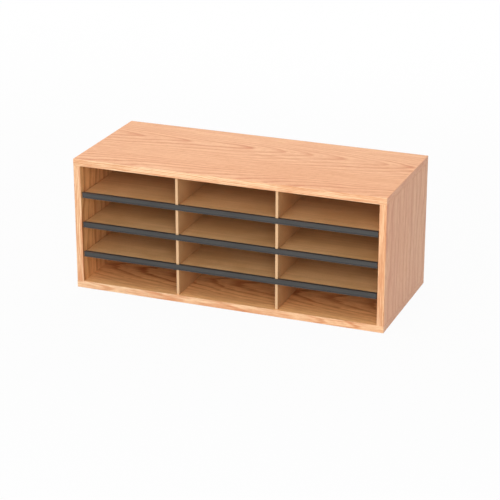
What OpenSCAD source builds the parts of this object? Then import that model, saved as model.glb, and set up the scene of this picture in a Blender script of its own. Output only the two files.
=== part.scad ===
// Literature organizer: a laminated cabinet of twelve paper compartments, three across and four high.
// Each shelf carries a label rail on its front edge and draws out to the front.
// Millimetres. The origin is at the bottom centre, +Z is up and the front faces -Y.

/* [Compartments] */
// Clear width of one compartment
comp_w = 229; // [190:1:280]
// Clear height of one compartment
comp_h = 64.5; // [50:0.5:110]
// Depth of the cabinet from front to rear
cabinet_d = 308; // [240:1:400]

/* [Boards] */
// Thickness of the top, bottom and side boards
board_t = 16; // [15:0.5:22]
// Thickness of the shelves
shelf_t = 6; // [4:0.5:9]
// Thickness of the upright dividers
divider_t = 6; // [4:0.5:9]
// Thickness of the back
back_t = 3; // [2:0.5:6]

/* [Edge bands] */
// Thickness of the bands glued on the sawn edges of the boards
band_t = 1; // [0.8:0.1:2]
// Chamfer along the outer edges of a band
band_ease = 0.5; // [0.2:0.1:0.7]

/* [Label rails] */
// Height that the rail stands above the top of its shelf
rail_over = 2; // [1.6:0.2:6]
// Depth that the rail hangs below the underside of its shelf
rail_under = 4; // [2:0.5:10]
// Wall of the rail
rail_wall = 1.2; // [0.8:0.1:1.6]
// Depth of the pocket that takes a paper label
pocket_d = 0.8; // [0.5:0.1:2]
// Height of the lips that hold a label in
lip_h = 2; // [1.4:0.1:3]
// Length of the two arms that grip the shelf
arm_len = 8; // [5:0.5:15]
// Chamfer along the outer edges of the rail
rail_ease = 0.4; // [0.2:0.1:0.6]
// Setback of the rail's face from the front of the cabinet
rail_setback = 1; // [0:0.5:6]

/* [Joinery] */
// Depth of the grooves that hold the dividers
groove_depth = 5; // [3:0.5:7]
// Lap of the back onto the boards around it
back_lap = 8; // [6:0.5:10]
// Setback of the back from the rear edges of the boards
back_inset = 1; // [0.8:0.1:3]

/* [Dowels] */
// Diameter of the corner dowels
dowel_d = 8; // [6:0.5:10]
// Depth of a dowel in the top or bottom board
dowel_in_board = 11; // [8:0.5:12]
// Depth of a dowel in a side board
dowel_in_side = 19; // [12:1:25]
// Distance of the outer dowels from the front and rear edges
dowel_edge = 45; // [35:1:80]
// Chamfer on the ends of a dowel
dowel_ease = 1; // [0.5:0.1:2]

/* [Shelf pins] */
// Diameter of a shelf pin
pin_d = 5; // [4:0.5:7]
// Depth of a pin in its side board
pin_in_side = 9; // [6:0.5:11]
// Reach of a pin out of its side board
pin_reach = 8; // [6:0.5:12]
// Diameter of the collar on a pin
collar_d = 8; // [7.5:0.5:10]
// Thickness of the collar
collar_t = 1.2; // [0.8:0.1:1.8]
// Distance of the pins from the front and rear edges
pin_edge = 45; // [25:1:80]

/* [Back nails] */
// Diameter of a nail
nail_d = 1.5; // [1:0.1:2]
// Length of a nail below its head
nail_len = 18; // [12:1:25]
// Diameter of a nail head
nail_head_d = 3.5; // [2.5:0.1:5]
// Thickness of a nail head
nail_head_t = 0.6; // [0.3:0.1:0.8]

/* [Fits] */
// Gap between a shelf and the pins and slots that it slides over
slide_gap = 0.3; // [0.2:0.05:0.6]
// Gap between each end of a shelf and the side board
shelf_end_gap = 2.5; // [2:0.25:5]
// Gap between the rear edge of a shelf and the back
shelf_back_gap = 1.5; // [0.5:0.25:4]
// Gap between the rear of a rail and the front edges of the dividers
divider_gap = 0.8; // [0.4:0.1:3]
// Gap around the edges of the back
back_edge_gap = 0.5; // [0.2:0.1:1]
// Gap round a glued or driven piece in its hole or groove
seat_gap = 0.05; // [0.02:0.01:0.15]

/* [Hidden] */
$fn = 48;

// Counts of compartments, and a cut's run past the face that it opens
columns = 3;
rows = 4;
over = 1;

// Outer and inner sizes of the cabinet
inner_w = columns * comp_w + (columns - 1) * divider_t;
inner_h = rows * comp_h + (rows - 1) * shelf_t;
cabinet_w = inner_w + 2 * board_t;
cabinet_h = inner_h + 2 * board_t;

// Places along the depth, from front to rear
front_y = -cabinet_d / 2;
core_front_y = front_y + band_t;
rail_t = 2 * rail_wall + pocket_d;
shelf_front_y = front_y + rail_setback + rail_t;
divider_front_y = shelf_front_y + divider_gap;
rear_y = cabinet_d / 2;
back_rear_y = rear_y - back_inset;
back_front_y = back_rear_y - back_t;
shelf_rear_y = back_front_y - shelf_back_gap;
cross_y = (divider_front_y + back_front_y) / 2;

// Lengths and places of the loose pieces
shelf_w = inner_w - 2 * shelf_end_gap;
dowel_x = inner_w / 2 + board_t / 2;
dowel_ys = [front_y + dowel_edge, 0, rear_y - dowel_edge];
pin_ys = [front_y + pin_edge, rear_y - pin_edge];
nail_places = concat(
    [for (column = [0:columns - 1], turn = [-1, 1], end = [-1, 1])
        [column_x(column) + turn * comp_w / 4, cabinet_h / 2 + end * (inner_h + back_lap) / 2]],
    [for (row = [0:rows - 1], end = [-1, 1])
        [end * (inner_w + back_lap) / 2, row_z(row) + comp_h / 2]]
);

oak = [0.92, 0.71, 0.55];
oak_band = [0.95, 0.75, 0.57];
fibreboard = [0.72, 0.55, 0.38];
hardboard = [0.50, 0.34, 0.22];
charcoal = [0.32, 0.33, 0.34];
beech = [0.85, 0.70, 0.52];
steel = [0.72, 0.73, 0.75];

// Centre of a compartment column, counted from the left
function column_x(column) = (column - (columns - 1) / 2) * (comp_w + divider_t);

// Centre of a divider, counted from the left
function divider_x(place) = column_x(place) + (comp_w + divider_t) / 2;

// Floor of a compartment row, counted from the bottom
function row_z(row) = board_t + row * (comp_h + shelf_t);

// Underside of the shelf that is the floor of a row
function shelf_z(row) = row_z(row) - shelf_t;

// Draws its children as they are for end 1, and on the left for end -1
module at_end(end) {
    if (end < 0)
        mirror([1, 0, 0]) children();
    else
        children();
}

// Draws its children as they are for level -1, and turned over at the top for level 1
module at_level(level) {
    if (level > 0)
        translate([0, 0, cabinet_h]) mirror([0, 0, 1]) children();
    else
        children();
}

// Box from its low corner to its high corner
module box_between(low, high) {
    translate(low) cube(high - low);
}

// Runs a profile along X: the profile's x points to the front and its y points up
module along_x(length) {
    rotate([90, 0, -90]) linear_extrude(height = length, center = true) children();
}

// Section of an edge band: it stands out by its thickness and is as wide as a board
module band_profile() {
    polygon([
        [0, 0],
        [band_t - band_ease, 0],
        [band_t, band_ease],
        [band_t, board_t - band_ease],
        [band_t - band_ease, board_t],
        [0, board_t]
    ]);
}

// Section of a label rail, from the front edge and the underside of its shelf
module rail_profile() {
    top = shelf_t + rail_over;
    bottom = -rail_under;
    pocket_front = rail_t - rail_wall;
    polygon([
        [-arm_len, -rail_wall],
        [0, -rail_wall],
        [0, bottom],
        [rail_t - rail_ease, bottom],
        [rail_t, bottom + rail_ease],
        [rail_t, bottom + lip_h],
        [pocket_front, bottom + lip_h],
        [pocket_front, bottom + rail_wall],
        [rail_wall, bottom + rail_wall],
        [rail_wall, top - rail_wall],
        [pocket_front, top - rail_wall],
        [pocket_front, top - lip_h],
        [rail_t, top - lip_h],
        [rail_t, top - rail_ease],
        [rail_t - rail_ease, top],
        [0, top],
        [0, shelf_t + rail_wall],
        [-arm_len, shelf_t + rail_wall],
        [-arm_len, shelf_t],
        [0, shelf_t],
        [0, 0],
        [-arm_len, 0]
    ]);
}

// Holes for the dowels of the bottom corner at the right
module dowel_holes() {
    for (y = dowel_ys)
        translate([dowel_x, y, board_t - dowel_in_board - seat_gap])
            cylinder(d = dowel_d + 2 * seat_gap, h = dowel_in_board + dowel_in_side + 2 * seat_gap);
}

// Holes for the nails that hold the back
module nail_holes() {
    for (place = nail_places)
        translate([place[0], rear_y, place[1]])
            rotate([90, 0, 0])
                cylinder(d = nail_d + 2 * seat_gap, h = back_inset + nail_len + seat_gap);
}

// Recess that takes the back, cut out of the boards around it
module back_recess() {
    box_between(
        [-inner_w / 2 - back_lap, back_front_y, board_t - back_lap],
        [inner_w / 2 + back_lap, rear_y + over, board_t + inner_h + back_lap]
    );
}

// Board under the compartments, and turned over the board above them
module flat_panel(level) {
    color(oak) at_level(level) difference() {
        box_between([-cabinet_w / 2 + band_t, core_front_y, 0], [cabinet_w / 2 - band_t, rear_y, board_t]);
        for (place = [0:columns - 2])
            translate([divider_x(place), 0, 0]) box_between(
                [-divider_t / 2 - seat_gap, divider_front_y - seat_gap, board_t - groove_depth],
                [divider_t / 2 + seat_gap, rear_y + over, board_t + over]
            );
        back_recess();
        nail_holes();
        for (end = [-1, 1])
            at_end(end) dowel_holes();
    }
}

// Board at the right end of the compartments, and mirrored at the left end
module side_panel(end) {
    color(oak) at_end(end) difference() {
        box_between([inner_w / 2, core_front_y, board_t], [cabinet_w / 2, rear_y, board_t + inner_h]);
        back_recess();
        nail_holes();
        for (level = [-1, 1])
            at_level(level) dowel_holes();
        for (row = [1:rows - 1], y = pin_ys)
            translate([inner_w / 2 - over, y, shelf_z(row) - slide_gap - pin_d / 2])
                rotate([0, 90, 0])
                    cylinder(d = pin_d + 2 * seat_gap, h = over + pin_in_side + seat_gap);
    }
}

// Thin back in its recess
module back_panel() {
    lap = back_lap - back_edge_gap;
    color(hardboard) difference() {
        box_between(
            [-inner_w / 2 - lap, back_front_y, board_t - lap],
            [inner_w / 2 + lap, back_rear_y, board_t + inner_h + lap]
        );
        nail_holes();
    }
}

// Band along the front edge of the bottom board, or of the top board
module long_front_band(level) {
    color(oak_band) at_level(level) translate([0, core_front_y, 0])
        along_x(cabinet_w) band_profile();
}

// Band up the front edge of a side board
module upright_front_band(end) {
    color(oak_band) at_end(end) translate([cabinet_w / 2, core_front_y, board_t])
        linear_extrude(height = inner_h) rotate(-90) mirror([0, 1]) band_profile();
}

// Band on one end of the bottom board, or of the top board
module end_band(end, level) {
    color(oak_band) at_level(level) at_end(end) translate([cabinet_w / 2 - band_t, rear_y, 0])
        rotate([90, 0, 0]) linear_extrude(height = rear_y - core_front_y) band_profile();
}

// Upright divider, slotted from the front so that each shelf slides across it
module divider(place) {
    cut_x = divider_t / 2 + over;
    cut_front_y = divider_front_y - over;
    mouth = rail_wall + slide_gap;
    color(fibreboard) translate([divider_x(place), 0, 0]) difference() {
        box_between(
            [-divider_t / 2, divider_front_y, board_t - groove_depth],
            [divider_t / 2, back_front_y, board_t + inner_h + groove_depth - seat_gap]
        );
        for (row = [1:rows - 1])
            translate([0, 0, shelf_z(row)]) {
                box_between(
                    [-cut_x, cut_front_y, -slide_gap],
                    [cut_x, cross_y + slide_gap, shelf_t + slide_gap]
                );
                box_between(
                    [-cut_x, cut_front_y, -mouth],
                    [cut_x, shelf_front_y + arm_len + slide_gap, shelf_t + mouth]
                );
            }
    }
}

// Shelf that is the floor of a row, slotted from the rear to pass the dividers
module shelf(row) {
    color(fibreboard) translate([0, 0, shelf_z(row)]) difference() {
        box_between([-shelf_w / 2, shelf_front_y, 0], [shelf_w / 2, shelf_rear_y, shelf_t]);
        for (place = [0:columns - 2])
            translate([divider_x(place), 0, 0]) box_between(
                [-divider_t / 2 - slide_gap, cross_y - slide_gap, -over],
                [divider_t / 2 + slide_gap, shelf_rear_y + over, shelf_t + over]
            );
    }
}

// Label rail on the front edge of a shelf
module label_rail(row) {
    color(charcoal) translate([0, shelf_front_y, shelf_z(row)])
        along_x(shelf_w) rail_profile();
}

// Four pins under the ends of a shelf
module shelf_pins(row) {
    color(steel) for (end = [-1, 1], y = pin_ys)
        at_end(end) translate([inner_w / 2, y, shelf_z(row) - slide_gap - pin_d / 2]) rotate([0, 90, 0]) {
            translate([0, 0, -pin_reach])
                cylinder(d = pin_d, h = pin_reach + pin_in_side);
            translate([0, 0, -collar_t])
                cylinder(d = collar_d, h = collar_t);
        }
}

// Dowels that join the side boards to the top and bottom boards
module corner_dowels() {
    straight = dowel_in_board + dowel_in_side - 2 * dowel_ease;
    color(beech) for (level = [-1, 1], end = [-1, 1], y = dowel_ys)
        at_level(level) at_end(end) translate([dowel_x, y, board_t - dowel_in_board]) {
            cylinder(d1 = dowel_d - 2 * dowel_ease, d2 = dowel_d, h = dowel_ease);
            translate([0, 0, dowel_ease])
                cylinder(d = dowel_d, h = straight);
            translate([0, 0, dowel_ease + straight])
                cylinder(d1 = dowel_d, d2 = dowel_d - 2 * dowel_ease, h = dowel_ease);
        }
}

// Nails through the rim of the back
module back_nails() {
    color(steel) for (place = nail_places)
        translate([place[0], back_rear_y, place[1]]) rotate([90, 0, 0]) {
            cylinder(d = nail_d, h = nail_len);
            translate([0, 0, -nail_head_t])
                cylinder(d = nail_head_d, h = nail_head_t);
        }
}

flat_panel(1);  // top_panel
flat_panel(-1);  // bottom_panel
side_panel(-1);  // left_side_panel
side_panel(1);  // right_side_panel
back_panel();
long_front_band(1);  // top_front_band
long_front_band(-1);  // bottom_front_band
upright_front_band(-1);  // left_front_band
upright_front_band(1);  // right_front_band
end_band(-1, 1);  // top_left_end_band
end_band(1, 1);  // top_right_end_band
end_band(-1, -1);  // bottom_left_end_band
end_band(1, -1);  // bottom_right_end_band
divider(0);  // left_divider
divider(1);  // right_divider
shelf(3);  // upper_shelf
shelf(2);  // middle_shelf
shelf(1);  // lower_shelf
label_rail(3);  // upper_label_rail
label_rail(2);  // middle_label_rail
label_rail(1);  // lower_label_rail
shelf_pins(3);  // upper_shelf_pins
shelf_pins(2);  // middle_shelf_pins
shelf_pins(1);  // lower_shelf_pins
corner_dowels();
back_nails();
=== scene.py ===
import math

import bpy
import numpy as np
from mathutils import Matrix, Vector


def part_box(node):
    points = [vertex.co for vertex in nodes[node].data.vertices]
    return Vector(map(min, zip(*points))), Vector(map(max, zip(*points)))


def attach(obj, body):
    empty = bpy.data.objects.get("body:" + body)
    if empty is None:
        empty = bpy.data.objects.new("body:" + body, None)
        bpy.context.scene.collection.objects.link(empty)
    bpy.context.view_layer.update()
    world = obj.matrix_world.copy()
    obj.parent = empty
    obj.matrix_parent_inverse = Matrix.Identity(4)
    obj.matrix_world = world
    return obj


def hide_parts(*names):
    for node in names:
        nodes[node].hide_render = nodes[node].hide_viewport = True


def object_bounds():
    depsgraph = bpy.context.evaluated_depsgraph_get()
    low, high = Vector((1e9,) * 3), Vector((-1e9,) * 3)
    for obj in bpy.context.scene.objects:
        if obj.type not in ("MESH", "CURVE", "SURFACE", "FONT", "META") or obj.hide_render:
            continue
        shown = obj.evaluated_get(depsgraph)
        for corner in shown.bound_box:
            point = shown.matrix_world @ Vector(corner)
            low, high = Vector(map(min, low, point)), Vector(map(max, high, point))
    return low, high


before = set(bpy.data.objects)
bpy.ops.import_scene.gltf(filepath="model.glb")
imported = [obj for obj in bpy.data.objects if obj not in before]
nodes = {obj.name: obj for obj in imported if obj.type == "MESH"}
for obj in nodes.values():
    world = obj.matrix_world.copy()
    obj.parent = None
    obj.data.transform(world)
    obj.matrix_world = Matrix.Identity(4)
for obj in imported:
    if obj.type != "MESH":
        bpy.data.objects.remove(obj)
cadLow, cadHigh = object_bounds()
levels = ("upper", "middle", "lower")
print("frame loaded with", len(nodes), "nodes")


# helpers for shader trees

def srgb(red, green, blue):  # screen values 0 to 255, as the linear colour a socket takes
    level = np.array([red, green, blue]) / 255
    linear = np.where(level <= 0.04045, level / 12.92, ((level + 0.055) / 1.055) ** 2.4)
    return (*linear.tolist(), 1.0)


def plug(tree, socket, value):  # a socket is linked, anything else becomes the socket's own value
    if isinstance(value, bpy.types.NodeSocket):
        tree.links.new(value, socket)
    else:
        socket.default_value = value


def addNode(tree, kind, values=None, **settings):
    made = tree.nodes.new(kind)
    for name, value in settings.items():
        setattr(made, name, value)
    for name, value in (values or {}).items():
        plug(tree, made.inputs[name], value)
    return made


def maths(tree, operation, *terms):
    made = addNode(tree, "ShaderNodeMath", operation=operation)
    for place, term in enumerate(terms):
        plug(tree, made.inputs[place], term)
    return made.outputs[0]


def ramp(tree, value, low, high, start=0.0, end=1.0, kind="SMOOTHSTEP"):  # eased step from low to high
    made = addNode(tree, "ShaderNodeMapRange", interpolation_type=kind)
    names = ("Value", "From Min", "From Max", "To Min", "To Max")
    for name, term in zip(names, (value, low, high, start, end)):
        plug(tree, made.inputs[name], term)
    return made.outputs[0]


def blendColour(tree, factor, first, second):  # the places are the colour sockets of the mix node
    made = addNode(tree, "ShaderNodeMix", data_type="RGBA")
    for place, value in ((0, factor), (6, first), (7, second)):
        plug(tree, made.inputs[place], value)
    return made.outputs[2]


def tint(tree, colour, mask, share, tone):  # colour moved towards tone by mask times share
    return blendColour(tree, maths(tree, "MULTIPLY", mask, share), colour, tone)


def noiseField(tree, vector, stretch, seed=0.0, detail=2.0, rough=0.5):  # cells 1 / stretch metres long
    placed = addNode(tree, "ShaderNodeMapping", {"Vector": vector, "Scale": stretch}).outputs[0]
    values = {"Vector": placed, "W": seed, "Scale": 1.0, "Detail": detail, "Roughness": rough}
    return addNode(tree, "ShaderNodeTexNoise", values, noise_dimensions="4D").outputs[0]


def wander(tree, vector, stretch, seed, reach, detail=2.0):  # noise about zero, reach from end to end
    level = maths(tree, "SUBTRACT", noiseField(tree, vector, stretch, seed, detail), 0.5)
    return maths(tree, "MULTIPLY", level, reach)


def splitVector(tree, vector):
    return addNode(tree, "ShaderNodeSeparateXYZ", {"Vector": vector}).outputs


def objectPlace(tree):
    return addNode(tree, "ShaderNodeTexCoord").outputs["Object"]


def grainVector(tree, order):  # object coordinates in the order along the grain, across it, through it
    parts = splitVector(tree, objectPlace(tree))
    values = {name: parts[axis] for name, axis in zip("XYZ", order)}
    return addNode(tree, "ShaderNodeCombineXYZ", values).outputs[0]


def newGroup(name, inputs, outputs):  # inputs are numbers with a default, after the vector
    tree = bpy.data.node_groups.new(name, "ShaderNodeTree")
    tree.interface.new_socket("Vector", in_out="INPUT", socket_type="NodeSocketVector")
    for socketName, value in inputs.items():
        socket = tree.interface.new_socket(socketName, in_out="INPUT", socket_type="NodeSocketFloat")
        socket.default_value = value
    for socketName in outputs:
        tree.interface.new_socket(socketName, in_out="OUTPUT", socket_type="NodeSocketFloat")
    return tree, addNode(tree, "NodeGroupInput").outputs, addNode(tree, "NodeGroupOutput").inputs


def useGroup(tree, group, values):
    return addNode(tree, "ShaderNodeGroup", values, node_tree=group).outputs


def newMaterial(name, specular):
    made = bpy.data.materials.new(name)
    made.use_nodes = True
    shader = next(n for n in made.node_tree.nodes if n.type == "BSDF_PRINCIPLED")
    shader.inputs["Specular IOR Level"].default_value = specular
    return made, made.node_tree, shader


def finishShader(tree, shader, colour, rough, height, relief):  # relief is the bump's strength and distance
    strength, distance = relief
    bump = addNode(tree, "ShaderNodeBump", {"Height": height, "Strength": strength, "Distance": distance})
    for name, value in (("Base Color", colour), ("Roughness", rough), ("Normal", bump.outputs[0])):
        plug(tree, shader.inputs[name], value)


# grain sway: the distance across the grain from the heart line, which a slow and a quick noise bend

swayForm = dict(slow=(3, 9, 9), slowReach=0.022, quick=(20, 70, 70), quickReach=0.006)


def makeGrainSway():
    tree, taken, out = newGroup("grainSway", dict(Axis=0.0, Sway=1.0, Seed=0.0), ("Offset",))
    vector, seed = taken["Vector"], taken["Seed"]
    slow = wander(tree, vector, swayForm["slow"], seed, swayForm["slowReach"])
    quick = wander(tree, vector, swayForm["quick"], seed, swayForm["quickReach"], detail=3)
    sway = maths(tree, "ADD", slow, quick)
    across = maths(tree, "MULTIPLY_ADD", sway, taken["Sway"], splitVector(tree, vector)[1])
    plug(tree, out["Offset"], maths(tree, "SUBTRACT", across, taken["Axis"]))
    return tree


# oak figure: rings are a count along the grain plus a lift times one minus the cosine of the distance from
# the heart line, which folds back every reach, so lines of equal value are nested arches with long flat
# legs; noise feathers and crowds them; each has a strength of its own, they are clearest at the heart line
# and at each fold, and behind the heart line they fade

figureForm = dict(
    crowd=(3.2, 7, 7), crowdSeed=5.0,
    broad=(9, 120, 120), broadReach=0.6, thin=(14, 420, 420), thinReach=0.4,  # the feathering's two noises
    ringPeak=0.86, strength=(0.5, 1.0),  # where a ring is darkest, and the weakest and strongest ring
    lineCount=3.0, line=(0.0, 0.75), lineDepth=0.6,  # fine lines in each ring
    clearFold=(0.2, 0.95), fadeSpan=(0.012, 0.05),
    coarse=(2.5, 75, 75), fine=(16, 230, 230), fineShare=1.6, streak=(1.05, 1.55),
    pore=(60, 1500, 1500), poreStep=(0.53, 0.66), poreLeast=0.4,
    drift=(1.6, 7, 7), driftSeed=11.0)


def makeOakFigure():
    given = dict(Count=0.0, Offset=0.0, Reach=0.2, Lift=11.0, Crowd=3.0, Feather=1.0, Faint=0.3, Fade=1.0,
                 Start=0.45, Seed=0.0)  # start is where in a ring its dark part begins
    names = ("Bands", "Lines", "Streaks", "Pores", "Drift")
    tree, taken, out = newGroup("oakFigure", given, names)
    vector, seed, offset = taken["Vector"], taken["Seed"], taken["Offset"]
    turn = maths(tree, "DIVIDE", maths(tree, "MULTIPLY", offset, math.pi), taken["Reach"])
    fold = maths(tree, "COSINE", turn)
    rise = maths(tree, "MULTIPLY", taken["Lift"], maths(tree, "SUBTRACT", 1.0, fold))
    crowdSeed = maths(tree, "ADD", seed, figureForm["crowdSeed"])
    crowd = wander(tree, vector, figureForm["crowd"], crowdSeed, taken["Crowd"])
    broad = wander(tree, vector, figureForm["broad"], seed, figureForm["broadReach"])
    thin = wander(tree, vector, figureForm["thin"], seed, figureForm["thinReach"], detail=3)
    feather = maths(tree, "MULTIPLY", maths(tree, "ADD", broad, thin), taken["Feather"])
    rings = maths(tree, "ADD", maths(tree, "ADD", taken["Count"], rise), maths(tree, "ADD", crowd, feather))

    def ringTone(count, start, end):  # a slow rise and a quick end in each ring
        phase = maths(tree, "FRACT", maths(tree, "MULTIPLY", rings, count))
        return maths(tree, "MULTIPLY", ramp(tree, phase, start, end), ramp(tree, phase, end, 1.0, 1.0, 0.0))

    folded = ramp(tree, maths(tree, "ABSOLUTE", fold), *figureForm["clearFold"], taken["Faint"], 1.0)
    behind = ramp(tree, offset, *figureForm["fadeSpan"], 1.0, taken["Fade"])
    year = maths(tree, "ADD", maths(tree, "FLOOR", rings), seed)
    chance = addNode(tree, "ShaderNodeTexWhiteNoise", {"W": year}, noise_dimensions="1D").outputs["Value"]
    strength = ramp(tree, chance, 0.0, 1.0, *figureForm["strength"], "LINEAR")
    clear = maths(tree, "MULTIPLY", strength, maths(tree, "MULTIPLY", folded, behind))
    bands = maths(tree, "MULTIPLY", ringTone(1.0, taken["Start"], figureForm["ringPeak"]), clear)
    lines = ringTone(figureForm["lineCount"], *figureForm["line"])
    coarse = noiseField(tree, vector, figureForm["coarse"], seed, detail=3)
    fine = noiseField(tree, vector, figureForm["fine"], seed, detail=4, rough=0.6)
    mixed = maths(tree, "MULTIPLY_ADD", fine, figureForm["fineShare"], coarse)
    streaks = ramp(tree, mixed, *figureForm["streak"])
    dash = noiseField(tree, vector, figureForm["pore"], seed, rough=0.6)
    dashes = ramp(tree, dash, *figureForm["poreStep"])
    crowded = ramp(tree, lines, 0.0, figureForm["lineDepth"], figureForm["poreLeast"], 1.0)
    pores = maths(tree, "MULTIPLY", dashes, crowded)
    drift = noiseField(tree, vector, figureForm["drift"], maths(tree, "ADD", seed, figureForm["driftSeed"]))
    for name, value in zip(names, (bands, lines, streaks, pores, drift)):
        plug(tree, out[name], value)
    return tree


# chip core: each pressed chip is a cell with its own tone, over a finer noise

chipForm = dict(chip=(480, 480, 900), grit=(900, 900, 1800), gritSeed=2.0, chipShare=0.7, gritShare=0.3)


def makeChipCore():
    tree, taken, out = newGroup("chipCore", {}, ("Tone", "Height"))
    placed = {"Vector": taken["Vector"], "Scale": chipForm["chip"]}
    flat = addNode(tree, "ShaderNodeMapping", placed).outputs[0]
    cells = addNode(tree, "ShaderNodeTexVoronoi", {"Vector": flat, "Scale": 1.0, "Randomness": 1.0}).outputs
    tone = addNode(tree, "ShaderNodeSeparateColor", {"Color": cells["Color"]}).outputs[0]
    fine = noiseField(tree, taken["Vector"], chipForm["grit"], chipForm["gritSeed"], detail=3)
    gritTone = maths(tree, "MULTIPLY", fine, chipForm["gritShare"])
    plug(tree, out["Tone"], maths(tree, "MULTIPLY_ADD", tone, chipForm["chipShare"], gritTone))
    plug(tree, out["Height"], maths(tree, "ADD", cells["Distance"], fine))
    return tree


# pressed fibre: fine flecks, soft clouds, and faint streaks along the first axis

fibreForm = dict(  # stretch, roughness and step of each noise
    Flecks=((500, 1300, 1300), 0.6, (0.42, 0.70)),
    Clouds=((10, 16, 16), 0.5, (0.3, 0.7)),
    Streaks=((4, 170, 170), 0.5, (0.35, 0.70)))


def makePressedFibre():
    tree, taken, out = newGroup("pressedFibre", dict(Seed=0.0), fibreForm)
    for name, (stretch, rough, step) in fibreForm.items():
        field = noiseField(tree, taken["Vector"], stretch, taken["Seed"], detail=3, rough=rough)
        plug(tree, out[name], ramp(tree, field, *step))
    return tree


grainSway = makeGrainSway()
oakFigure = makeOakFigure()
chipCore = makeChipCore()
pressedFibre = makePressedFibre()
print("shared patterns made")

# oak laminate and its edge bands

oakTone = dict(light=srgb(248, 193, 146), deep=srgb(244, 184, 135), band=srgb(213, 133, 87),
               pore=srgb(164, 94, 56), bands=1.0, lines=0.10, streaks=0.40, pores=0.42,
               driftStep=(0.3, 0.7), rough=(0.40, 0.60), specular=0.4, relief=(0.25, 0.00012))
stripTone = dict(oakTone, light=srgb(251, 214, 171), deep=srgb(247, 200, 154), band=srgb(210, 132, 84),
                 streaks=0.65)
# painted shade and warm bounce light: a deeper, warmer copy of the oak for the faces inside the cabinet
shadedInsideTone = dict(oakTone, light=srgb(255, 204, 142), deep=srgb(250, 190, 126), band=srgb(176, 98, 48),
                 bands=0.9, streaks=0.3)
calmTone = dict(oakTone, light=srgb(255, 201, 154), deep=srgb(252, 191, 142), band=srgb(219, 127, 87),
                bands=0.8)
coreTone = dict(light=srgb(214, 180, 136), dark=srgb(156, 116, 78), depth=0.0004, rough=0.9)


def curveThrough(tree, value, points):  # a smooth curve through points of place and height
    places, heights = np.array(points).T
    low, span = heights.min(), np.ptp(heights)
    spread = np.column_stack([(places - places[0]) / np.ptp(places), (heights - low) / span])
    curve = addNode(tree, "ShaderNodeFloatCurve")
    line = curve.mapping.curves[0].points
    line[0].location, line[1].location = spread[0], spread[-1]
    for point in spread[1:-1]:
        line.new(*point)
    curve.mapping.update()
    plug(tree, curve.inputs["Value"], ramp(tree, value, places[0], places[-1], kind="LINEAR"))
    return maths(tree, "MULTIPLY_ADD", curve.outputs[0], span, low)


def ringCount(tree, along, noses):  # one ring more at each nose, where a ring is darkest
    points = [(nose, ring) for ring, nose in enumerate(noses)]
    return maths(tree, "ADD", curveThrough(tree, along, points), figureForm["ringPeak"])


def oakColour(tree, grain, tone):  # light to deep by the drift, then each mask moves it towards its own tone
    colour = blendColour(tree, ramp(tree, grain["Drift"], *tone["driftStep"]), tone["light"], tone["deep"])
    for mask, towards in (("Streaks", "band"), ("Bands", "band"), ("Lines", "band"), ("Pores", "pore")):
        colour = tint(tree, colour, grain[mask], tone[mask.lower()], tone[towards])
    return colour


def insideHalf(tree, node, through):  # 1 in the half of the board's thickness nearer the cabinet's middle
    axis = "XYZ".index(through)
    low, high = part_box(node)
    middle = (low[axis] + high[axis]) / 2
    inward = math.copysign(1.0, (cadLow[axis] + cadHigh[axis]) / 2 - middle)
    place = splitVector(tree, objectPlace(tree))[axis]
    return maths(tree, "GREATER_THAN", maths(tree, "MULTIPLY", place, inward), middle * inward)


def oakMaterial(node, order, seed, axis, pitch=0.1, sway=1.0, noses=None, rise=None, board=False,
                tone=oakTone, **figure):  # pitch is a ring's length along the grain where no noses are given
    made, tree, shader = newMaterial(f"{node}_oak", tone["specular"])
    vector = grainVector(tree, order)
    along = splitVector(tree, vector)[0]
    bend = {"Vector": vector, "Axis": axis, "Sway": sway, "Seed": seed}
    offset = useGroup(tree, grainSway, bend)["Offset"]
    count = ringCount(tree, along, noses) if noses else maths(tree, "DIVIDE", along, pitch)
    if rise:
        count = maths(tree, "ADD", count, curveThrough(tree, offset, rise))
    values = {key.capitalize(): value for key, value in dict(figure, seed=seed).items()}
    grain = useGroup(tree, oakFigure, {"Vector": vector, "Count": count, "Offset": offset, **values})
    colour = oakColour(tree, grain, tone)
    rough = ramp(tree, grain["Pores"], 0.0, 1.0, *tone["rough"])
    height = maths(tree, "SUBTRACT", 1.0, grain["Pores"])
    if board:  # inside the cabinet a board gets a deeper, warmer copy of its oak, which is painted shade and bounce light, and its rear edge has no band, so it shows the chips
        shadedInsideColour = oakColour(tree, grain, shadedInsideTone)
        colour = blendColour(tree, insideHalf(tree, node, order[2]), colour, shadedInsideColour)
        place = objectPlace(tree)
        sawn = maths(tree, "GREATER_THAN", splitVector(tree, place)[1], cadHigh.y - coreTone["depth"])
        chips = useGroup(tree, chipCore, {"Vector": place})
        chipColour = blendColour(tree, chips["Tone"], coreTone["dark"], coreTone["light"])
        colour = blendColour(tree, sawn, colour, chipColour)
        rough = maths(tree, "MAXIMUM", rough, maths(tree, "MULTIPLY", sawn, coreTone["rough"]))
        height = maths(tree, "MULTIPLY_ADD", sawn, chips["Height"], height)
    finishShader(tree, shader, colour, rough, height, tone["relief"])
    return made


# places of the arches along each board's grain, from its middle
topNoses = (-0.42, -0.300, -0.180, -0.015, 0.060, 0.120, 0.195, 0.295, 0.355, 0.46)
topRise = (  # rings to the front and the rear of the heart line
    (-0.225, 14.6), (-0.212, 14.5), (-0.195, 14.0), (-0.165, 12.4), (-0.13, 9.0), (-0.09, 4.6),
    (-0.06, 2.4), (-0.035, 1.25), (-0.02, 0.6), (-0.008, 0.12), (0.0, 0.0), (0.008, 0.15), (0.02, 0.8),
    (0.04, 2.5), (0.11, 8.0))
bottomNoses = (-0.44, -0.33, -0.25, -0.16, -0.072, -0.010, 0.12, 0.21, 0.30, 0.36, 0.44)
frontNoses = (-0.46, -0.300, -0.125, 0.045, 0.225, 0.300, 0.46)
straight = dict(  # far from the heart line
    reach=0.5, lift=7.3, pitch=0.6, sway=0.4, crowd=5.0, feather=0.5, faint=0.6, board=True, tone=calmTone)
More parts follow.
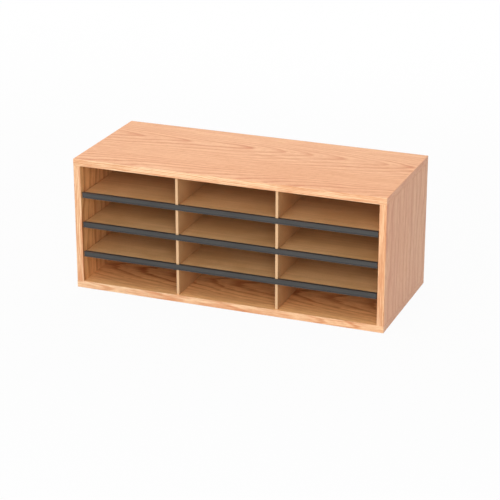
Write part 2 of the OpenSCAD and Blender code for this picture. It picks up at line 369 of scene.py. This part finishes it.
strip = dict(reach=0.1, lift=8.0, pitch=0.23, faint=0.9, tone=stripTone)
endStrip = dict(strip, order="YZX", tone=calmTone)
oakPieces = {
    "top_panel": dict(order="XYZ", noses=topNoses, rise=topRise, axis=0.059, reach=0.209, lift=0.0,
                      crowd=0.7, feather=0.5, faint=0.6, fade=0.5, seed=1.02, board=True),
    "bottom_panel": dict(order="XYZ", noses=bottomNoses, axis=-0.042, lift=-5.0, crowd=0.5, seed=4.0,
                         board=True),
    "left_side_panel": dict(straight, order="ZYX", axis=0.25, seed=7.0),
    "right_side_panel": dict(straight, order="ZYX", axis=0.27, seed=9.0),
    "top_front_band": dict(strip, order="XZY", axis=0.25, seed=12.0),
    "bottom_front_band": dict(order="XZY", noses=frontNoses, axis=0.006, reach=0.03, lift=0.7, crowd=0.3,
                              start=0.72, seed=37.0, tone=stripTone),
    "left_front_band": dict(strip, order="ZXY", axis=0.305, seed=24.0),
    "right_front_band": dict(strip, order="ZXY", axis=0.305, seed=15.0),
    "top_left_end_band": dict(endStrip, axis=0.25, seed=16.0),
    "top_right_end_band": dict(endStrip, axis=0.25, seed=17.0),
    "bottom_left_end_band": dict(endStrip, axis=0.05, seed=18.0),
    "bottom_right_end_band": dict(endStrip, axis=0.05, seed=19.0),
}
finishes = {name: oakMaterial(name, **grain) for name, grain in oakPieces.items()}

# fibreboard, hardboard and dowel wood

edgeForm = dict(width=0.0003, segments=2, angle=math.radians(40), merge=1e-6)  # thin boards' broken edges
fibreTone = dict(light=srgb(228, 184, 130), deep=srgb(213, 167, 112), fleck=srgb(160, 116, 78),
                 streak=srgb(172, 128, 88), flecks=0.32, streaks=0.25, rough=(0.70, 0.86), specular=0.25,
                 relief=(0.2, 0.00015))
# the dividers' front edge is tinted paler: partly cut fibre, partly a painted highlight of the front light
boardTone = dict(fibreTone, light=srgb(210, 163, 114), deep=srgb(200, 151, 102), streaks=0.06,
                 edge=srgb(240, 208, 170), cutAndLitShare=0.42)
hardTone = dict(fibreTone, light=srgb(134, 94, 64), deep=srgb(112, 76, 50), fleck=srgb(70, 46, 30),
                streak=srgb(96, 64, 42), rough=(0.5, 0.75))
dowelTone = dict(fibreTone, light=srgb(224, 184, 138), deep=srgb(208, 164, 116), streaks=0.4)


def fibreMaterial(name, order, seed, tone, frontEdge=None):
    made, tree, shader = newMaterial(name, tone["specular"])
    fibre = useGroup(tree, pressedFibre, {"Vector": grainVector(tree, order), "Seed": seed})
    colour = blendColour(tree, fibre["Clouds"], tone["light"], tone["deep"])
    colour = tint(tree, colour, fibre["Streaks"], tone["streaks"], tone["streak"])
    colour = tint(tree, colour, fibre["Flecks"], tone["flecks"], tone["fleck"])
    if frontEdge is not None:  # the sawn front edge is paler, partly from its cut fibre and partly a painted highlight of the front light
        sawn = maths(tree, "LESS_THAN", splitVector(tree, objectPlace(tree))[1], frontEdge)
        colour = tint(tree, colour, sawn, tone["cutAndLitShare"], tone["edge"])
    rough = ramp(tree, fibre["Flecks"], 0.0, 1.0, *tone["rough"])
    finishShader(tree, shader, colour, rough, fibre["Flecks"], tone["relief"])
    return made


shelfBoard = fibreMaterial("shelfFibreboard", "XYZ", seed=2.0, tone=fibreTone)
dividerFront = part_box("left_divider")[0].y + edgeForm["width"]
dividerBoard = fibreMaterial("dividerFibreboard", "ZYX", seed=5.0, tone=boardTone, frontEdge=dividerFront)
finishes["back_panel"] = fibreMaterial("brownHardboard", "XZY", seed=3.0, tone=hardTone)
finishes["corner_dowels"] = fibreMaterial("dowelBeech", "ZXY", seed=4.0, tone=dowelTone)
finishes.update({f"{level}_shelf": shelfBoard for level in levels})
finishes.update({f"{side}_divider": dividerBoard for side in ("left", "right")})
for name, finish in finishes.items():
    nodes[name].data.materials.clear()
    nodes[name].data.materials.append(finish)
print("finishes set on", len(finishes), "boards and bands")

# slightly broken edges on the thin boards

def breakEdges(node):
    weld = node.modifiers.new("weld", "WELD")
    weld.merge_threshold = edgeForm["merge"]
    bevel = node.modifiers.new("brokenEdges", "BEVEL")
    bevel.width = edgeForm["width"]
    bevel.segments = edgeForm["segments"]
    bevel.limit_method = "ANGLE"
    bevel.angle_limit = edgeForm["angle"]


# closed tubes from a grid of rings: quads join neighbouring rings, and the first and last ring are capped;
# the points of a ring run counter-clockwise about the direction of the stations

sharpAngle = math.radians(35)


def tubePiece(name, grids, material, body, replaced):
    count, stations, around = grids.shape[:3]
    index = np.arange(count * stations * around).reshape(count, stations, around)
    turned = np.roll(index, -1, axis=2)
    quads = np.stack([index[:, :-1], turned[:, :-1], turned[:, 1:], index[:, 1:]], axis=-1).reshape(-1, 4)
    caps = np.concatenate([index[:, 0, ::-1], index[:, -1]])
    mesh = bpy.data.meshes.new(name)
    mesh.from_pydata(grids.reshape(-1, 3).tolist(), [], quads.tolist() + caps.tolist())
    mesh.shade_smooth()
    mesh.set_sharp_from_angle(angle=sharpAngle)
    mesh.materials.append(material)
    piece = bpy.data.objects.new(name, mesh)
    bpy.context.scene.collection.objects.link(piece)
    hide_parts(replaced)
    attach(piece, body)
    return piece


# each corner becomes an arc: its centre is on the bisector at radius / sin(half angle), and it starts and
# ends at radius / tan(half angle) from the corner

def roundedOutline(corners, radii, steps):
    before = np.roll(corners, 1, axis=0) - corners
    after = np.roll(corners, -1, axis=0) - corners
    before /= np.linalg.norm(before, axis=1, keepdims=True)
    after /= np.linalg.norm(after, axis=1, keepdims=True)
    half = np.arccos(np.clip((before * after).sum(1), -1, 1)) / 2
    bisector = before + after
    bisector /= np.linalg.norm(bisector, axis=1, keepdims=True)
    centre = corners + bisector * (radii / np.sin(half))[:, None]
    reach = (radii / np.tan(half))[:, None]
    first = (corners + before * reach - centre)[:, None]
    last = (corners + after * reach - centre)[:, None]
    turn = (math.pi - 2 * half)[:, None, None]
    share = np.linspace(0, 1, steps)[None, :, None]
    arcs = (first * np.sin((1 - share) * turn) + last * np.sin(share * turn)) / np.sin(turn)
    return (centre[:, None] + arcs).reshape(-1, 2)


# label rails: the rounded section of a label pocket with two gripping arms, carried along X

railForm = dict(wall=0.0012, lip=0.0020, outer=0.0006, inner=0.00015, arm=0.00045, steps=5)
railTone = dict(light=srgb(71, 70, 69), deep=srgb(62, 61, 60), drawn=(3, 1500, 1500), cloud=(18, 60, 60),
                mixStep=(0.7, 1.3), roughStep=(0.3, 0.7), rough=(0.34, 0.48), specular=0.4,
                relief=(0.10, 0.00006))


def railMaterial():
    made, tree, shader = newMaterial("charcoalPlastic", railTone["specular"])
    vector = objectPlace(tree)
    drawn = noiseField(tree, vector, railTone["drawn"], seed=1.0)  # die lines along the rail
    clouds = noiseField(tree, vector, railTone["cloud"], seed=3.0)
    mixed = ramp(tree, maths(tree, "ADD", drawn, clouds), *railTone["mixStep"])
    colour = blendColour(tree, mixed, railTone["light"], railTone["deep"])
    rough = ramp(tree, drawn, *railTone["roughStep"], *railTone["rough"])
    finishShader(tree, shader, colour, rough, drawn, railTone["relief"])
    return made


def makeRail(level, material):
    name = f"{level}_label_rail"
    railLow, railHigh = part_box(name)
    shelfLow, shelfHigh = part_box(f"{level}_shelf")
    wall, lip, outer, inner, arm = (railForm[key] for key in ("wall", "lip", "outer", "inner", "arm"))
    front, rear = shelfLow.y - railLow.y, shelfLow.y - railHigh.y  # forward of the shelf's front edge
    top, bottom, thick = railHigh.z - shelfLow.z, railLow.z - shelfLow.z, shelfHigh.z - shelfLow.z
    section = np.array([
        (rear, -wall, arm), (0, -wall, inner), (0, bottom, outer), (front, bottom, outer),
        (front, bottom + lip, arm), (front - wall, bottom + lip, arm), (front - wall, bottom + wall, inner),
        (wall, bottom + wall, inner), (wall, top - wall, inner), (front - wall, top - wall, inner),
        (front - wall, top - lip, arm), (front, top - lip, arm), (front, top, outer), (0, top, outer),
        (0, thick + wall, inner), (rear, thick + wall, arm), (rear, thick, inner), (0, thick, inner),
        (0, 0, inner), (rear, 0, inner),
    ])
    ring = roundedOutline(section[:, :2], section[:, 2], railForm["steps"])[::-1]
    ends = np.array([railLow.x, railHigh.x])
    grid = np.empty((1, 2, len(ring), 3))
    grid[..., 0] = ends[None, :, None]
    grid[..., 1] = shelfLow.y - ring[:, 0]
    grid[..., 2] = shelfLow.z + ring[:, 1]
    tubePiece(f"{level}LabelRail", grid, material, f"{level}_shelf_unit", name)


charcoal = railMaterial()
for level in levels:
    makeRail(level, charcoal)
print("label rails made")

# turned steel pieces: a profile of distance along the axis and radius, spun about each axis

steelTone = dict(light=srgb(200, 202, 205), deep=srgb(170, 172, 176), bloom=(500, 500, 500),
                 roughStep=(0.3, 0.7), rough=(0.26, 0.45), specular=0.5, relief=(0.05, 0.00005))


def steelMaterial():
    made, tree, shader = newMaterial("brightSteel", steelTone["specular"])
    shader.inputs["Metallic"].default_value = 1.0
    bloom = noiseField(tree, objectPlace(tree), steelTone["bloom"], detail=3)
    colour = blendColour(tree, bloom, steelTone["light"], steelTone["deep"])
    rough = ramp(tree, bloom, *steelTone["roughStep"], *steelTone["rough"])
    finishShader(tree, shader, colour, rough, bloom, steelTone["relief"])
    return made


def spun(profile, places, axes, around):
    side = np.where(np.abs(axes[:, :1]) > 0.5, (0.0, 1.0, 0.0), (1.0, 0.0, 0.0))
    up = np.cross(axes, side)
    angle = np.linspace(0, 2 * math.pi, around, endpoint=False)
    spoke = side[:, None] * np.cos(angle)[:, None] + up[:, None] * np.sin(angle)[:, None]
    along = axes[:, None] * profile[:, :1] + places[:, None]
    return along[:, :, None] + spoke[:, None] * profile[None, :, 1:, None]


brightSteel = steelMaterial()
pinForm = dict(radius=0.0025, collar=0.0012, reach=0.008, ease=0.0005, around=28)
nailForm = dict(radius=0.00075, headRadius=0.00175, head=0.0006, point=0.0025, around=20, tip=0.15,
                dome=((0, 0.9), (0.3, 1.0), (0.55, 0.94), (0.85, 0.65), (1.0, 0.25)))  # shares of the head


def makePins(level):
    name = f"{level}_shelf_pins"
    low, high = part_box(name)
    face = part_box("right_side_panel")[0].x  # inner face that the collars sit on
    radius, collar, reach, ease = (pinForm[key] for key in ("radius", "collar", "reach", "ease"))
    wide = (high.z - low.z) / 2
    profile = np.array([
        (face - high.x, radius - ease), (face - high.x + ease, radius), (0, radius), (0, wide - ease / 2),
        (ease / 2, wide), (collar - ease, wide), (collar, wide - ease), (collar, radius + ease),
        (collar + ease, radius), (reach - ease, radius), (reach - ease / 3, radius - ease / 3),
        (reach, radius - ease),
    ])
    ends = np.array([(x, y) for x in (-1.0, 1.0) for y in (low.y + wide, high.y - wide)])
    places = np.column_stack([ends[:, 0] * face, ends[:, 1], np.full(len(ends), (low.z + high.z) / 2)])
    axes = np.column_stack([-ends[:, 0], np.zeros((len(ends), 2))])
    tubePiece(f"{level}ShelfPins", spun(profile, places, axes, pinForm["around"]), brightSteel,
              "cabinet", name)


def makeNails():
    low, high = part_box("back_nails")
    radius, wide, head, point = (nailForm[key] for key in ("radius", "headRadius", "head", "point"))
    rear = high.y - head
    length = rear - low.y
    shank = [(-length, radius * nailForm["tip"]), (point - length, radius), (0, radius)]
    profile = np.vstack([shank, np.array(nailForm["dome"]) * (head, wide)])
    columnEdges = [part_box("left_side_panel")[1].x]  # left and right walls of each column
    for side in ("left", "right"):
        columnEdges += [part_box(f"{side}_divider")[0].x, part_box(f"{side}_divider")[1].x]
    columnEdges = np.array([*columnEdges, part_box("right_side_panel")[0].x]).reshape(-1, 2)
    rowEdges = [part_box("bottom_panel")[1].z]  # floor and ceiling of each row
    for level in levels[::-1]:
        rowEdges += [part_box(f"{level}_shelf")[0].z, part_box(f"{level}_shelf")[1].z]
    rowEdges = np.array([*rowEdges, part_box("top_panel")[0].z]).reshape(-1, 2)
    across = (columnEdges @ np.array([[0.75, 0.25], [0.25, 0.75]])).ravel()  # quarter points of each column
    upright = rowEdges.mean(axis=1)
    flat = np.concatenate([
        np.column_stack([np.tile(across, 2), np.repeat([low.z + wide, high.z - wide], len(across))]),
        np.column_stack([np.repeat([low.x + wide, high.x - wide], len(upright)), np.tile(upright, 2)]),
    ])
    places = np.column_stack([flat[:, 0], np.full(len(flat), rear), flat[:, 1]])
    axes = np.tile((0.0, 1.0, 0.0), (len(flat), 1))
    tubePiece("backNails", spun(profile, places, axes, nailForm["around"]), brightSteel,
              "cabinet", "back_nails")


for level in levels:
    makePins(level)
makeNails()
for name in finishes:
    if name.endswith(("_shelf", "_divider")):
        breakEdges(nodes[name])
print("pins, nails and broken edges made")

# white floor that keeps a faint shadow, and soft studio light

stageForm = dict(size=14.0, drop=0.0005, colour=(0.62, 0.62, 0.62, 1.0), rough=0.9, specular=0.1,
                 whiteShare=0.95, whiteSpan=(0.8, 3.0), ambient=0.40)


def seenRay(tree):  # 1 for rays from the camera, from a gloss or through glass
    path = addNode(tree, "ShaderNodeLightPath").outputs
    glossy = maths(tree, "MAXIMUM", path["Is Glossy Ray"], path["Is Transmission Ray"])
    return maths(tree, "MAXIMUM", path["Is Camera Ray"], glossy)


def makeFloor():
    half, level = stageForm["size"] / 2, cadLow.z - stageForm["drop"]
    corners = [(-half, -half, level), (half, -half, level), (half, half, level), (-half, half, level)]
    mesh = bpy.data.meshes.new("floor")
    mesh.from_pydata(corners, [], [(0, 1, 2, 3)])
    floor = bpy.data.objects.new("floor", mesh)
    bpy.context.scene.collection.objects.link(floor)
    made, tree, shader = newMaterial("paleFloor", stageForm["specular"])
    shader.inputs["Base Color"].default_value = stageForm["colour"]
    shader.inputs["Roughness"].default_value = stageForm["rough"]
    away = addNode(tree, "ShaderNodeVectorMath", {0: objectPlace(tree)}, operation="LENGTH").outputs["Value"]
    share = ramp(tree, away, *stageForm["whiteSpan"], stageForm["whiteShare"], 1.0)
    white = maths(tree, "MULTIPLY", seenRay(tree), share)
    glow = addNode(tree, "ShaderNodeEmission", {"Strength": 1.0})
    mixed = addNode(tree, "ShaderNodeMixShader", {"Fac": white})
    for place, source in ((1, shader), (2, glow)):
        tree.links.new(source.outputs[0], mixed.inputs[place])
    output = next(n for n in tree.nodes if n.type == "OUTPUT_MATERIAL")
    tree.links.new(mixed.outputs[0], output.inputs["Surface"])
    mesh.materials.append(made)


def makeWorld():
    world = bpy.data.worlds.new("studio")
    bpy.context.scene.world = world
    world.use_nodes = True
    tree = world.node_tree
    background = next(n for n in tree.nodes if n.type == "BACKGROUND")
    background.inputs["Color"].default_value = (1, 1, 1, 1)
    strength = ramp(tree, seenRay(tree), 0.0, 1.0, stageForm["ambient"], 1.0, "LINEAR")
    plug(tree, background.inputs["Strength"], strength)


lamps = dict(
    overhead=dict(place=(-0.4, -0.3, 2.7), size=(2.4, 2.4), power=27.0),
    front=dict(place=(0.45, -2.4, 1.1), size=(2.8, 2.0), power=52.0),
    rear=dict(place=(-0.5, 2.4, 1.1), size=(1.8, 1.6), power=26.0),
)


def makeLamps():
    aim = Vector((0, 0, (cadLow.z + cadHigh.z) / 2))
    for name, lamp in lamps.items():
        data = bpy.data.lights.new(name, "AREA")
        data.shape = "RECTANGLE"
        data.size, data.size_y = lamp["size"]
        data.energy = lamp["power"]
        made = bpy.data.objects.new(name, data)
        made.location = lamp["place"]
        made.visible_glossy = False  # no lamp glare on the boards from behind
        made.rotation_euler = (aim - made.location).to_track_quat("-Z", "Y").to_euler()
        bpy.context.scene.collection.objects.link(made)


shot = dict(lens=130.0, sensor=36.0, azimuth=21.34, elevation=21.13, distance=4.112,
            aim=(-0.0026, 0.0, 0.0853))


def makeCamera():
    data = bpy.data.cameras.new("camera")
    data.lens = shot["lens"]
    data.sensor_width = shot["sensor"]
    turn, tilt = math.radians(shot["azimuth"]), math.radians(shot["elevation"])
    back = Vector((math.sin(turn) * math.cos(tilt), -math.cos(turn) * math.cos(tilt), math.sin(tilt)))
    made = bpy.data.objects.new("camera", data)
    made.location = Vector(shot["aim"]) + back * shot["distance"]
    made.rotation_euler = (-back).to_track_quat("-Z", "Y").to_euler()
    bpy.context.scene.collection.objects.link(made)
    bpy.context.scene.camera = made


makeFloor()
makeWorld()
makeLamps()
makeCamera()
bpy.context.scene.view_settings.view_transform = "Standard"
print("floor, light and camera made")
